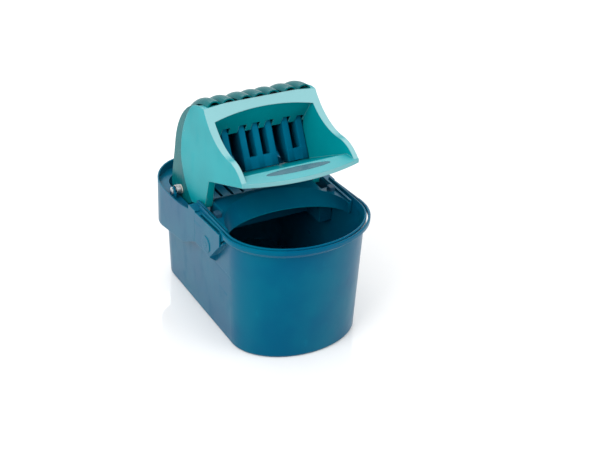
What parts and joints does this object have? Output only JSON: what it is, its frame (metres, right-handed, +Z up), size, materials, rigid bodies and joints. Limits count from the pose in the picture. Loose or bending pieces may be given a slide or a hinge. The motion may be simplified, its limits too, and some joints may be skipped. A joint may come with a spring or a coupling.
{
  "type": "bucket with press wringer",
  "caption": "Oval floor-cleaning bucket with a bail and a tipping press wringer whose toothed comb squeezes a flat mop as the mouth is pushed down.",
  "frame": {"origin": "on the floor, under the centre of the bounding box", "axes": "+Z up, -Y towards the bucket's open front, X across; the press tips about an axis along X near the rear"},
  "size_m": [0.2784, 0.422, 0.3976],
  "materials": {
    "petrol_gloss": "smooth semi-gloss moulded plastic, petrol blue",
    "turquoise_gloss": "smooth semi-gloss moulded plastic, turquoise",
    "teal_gloss": "smooth semi-gloss moulded plastic, dark teal",
    "comb_blue": "satin moulded plastic, blue",
    "steel": "drawn stainless steel",
    "bush_white": "natural bearing plastic",
    "stop_rubber": "soft dark blue elastomer"
  },
  "bodies": {
    "bucket": {"bucket_body": "petrol_gloss", "press_carrier": "petrol_gloss", "splash_apron": "petrol_gloss", "bail_pin_left": "petrol_gloss", "bail_pin_right": "petrol_gloss", "pivot_pin_left": "steel", "pivot_pin_right": "steel", "lower_link_pin_left": "steel", "lower_link_pin_right": "steel", "return_spring_left": "steel", "return_spring_right": "steel", "stop_pad_left": "stop_rubber", "stop_pad_right": "stop_rubber"},
    "bail": {"bail_handle": "petrol_gloss"},
    "press": {"press_housing": "turquoise_gloss", "back_shell": "teal_gloss", "back_shell_screws": "steel", "lip_inlay": "petrol_gloss", "comb_hinge_rod": "steel", "pivot_bush_left": "bush_white", "pivot_bush_right": "bush_white"},
    "comb": {"comb_backbone": "comb_blue", "comb_left": "comb_blue", "comb_centre": "comb_blue", "comb_right": "comb_blue", "upper_link_pin_left": "steel", "upper_link_pin_right": "steel"},
    "link_left": {"drive_link_left": "comb_blue"},
    "link_right": {"drive_link_right": "comb_blue"}
  },
  "joints": [
    {"name": "bail_swing", "type": "hinge", "parent": "bucket", "child": "bail", "pos_m": [0, -0.047, 0.175], "axis": [-1, 0, 0], "range_deg": [0, 32]},
    {"name": "press_tip", "type": "hinge", "parent": "bucket", "child": "press", "pos_m": [0, 0.108, 0.2], "axis": [1, 0, 0], "range_deg": [0, 19.8], "stiffness_Nm_per_rad": 3, "springref_deg": -34.38},
    {"name": "comb_swing", "type": "hinge", "parent": "press", "child": "comb", "pos_m": [0, 0.063, 0.345], "axis": [1, 0, 0], "range_deg": [-19.8, 0]},
    {"name": "link_left_swing", "type": "hinge", "parent": "bucket", "child": "link_left", "pos_m": [-0.1005, 0.108, 0.162], "axis": [1, 0, 0], "range_deg": [0, 19.8]},
    {"name": "link_right_swing", "type": "hinge", "parent": "bucket", "child": "link_right", "pos_m": [0.1005, 0.108, 0.162], "axis": [1, 0, 0], "range_deg": [0, 19.8]}
  ],
  "couplings": [
    {"joint": "comb_swing", "follows": "press_tip", "ratio": -1},
    {"joint": "link_left_swing", "follows": "press_tip", "ratio": 1},
    {"joint": "link_right_swing", "follows": "press_tip", "ratio": 1}
  ]
}
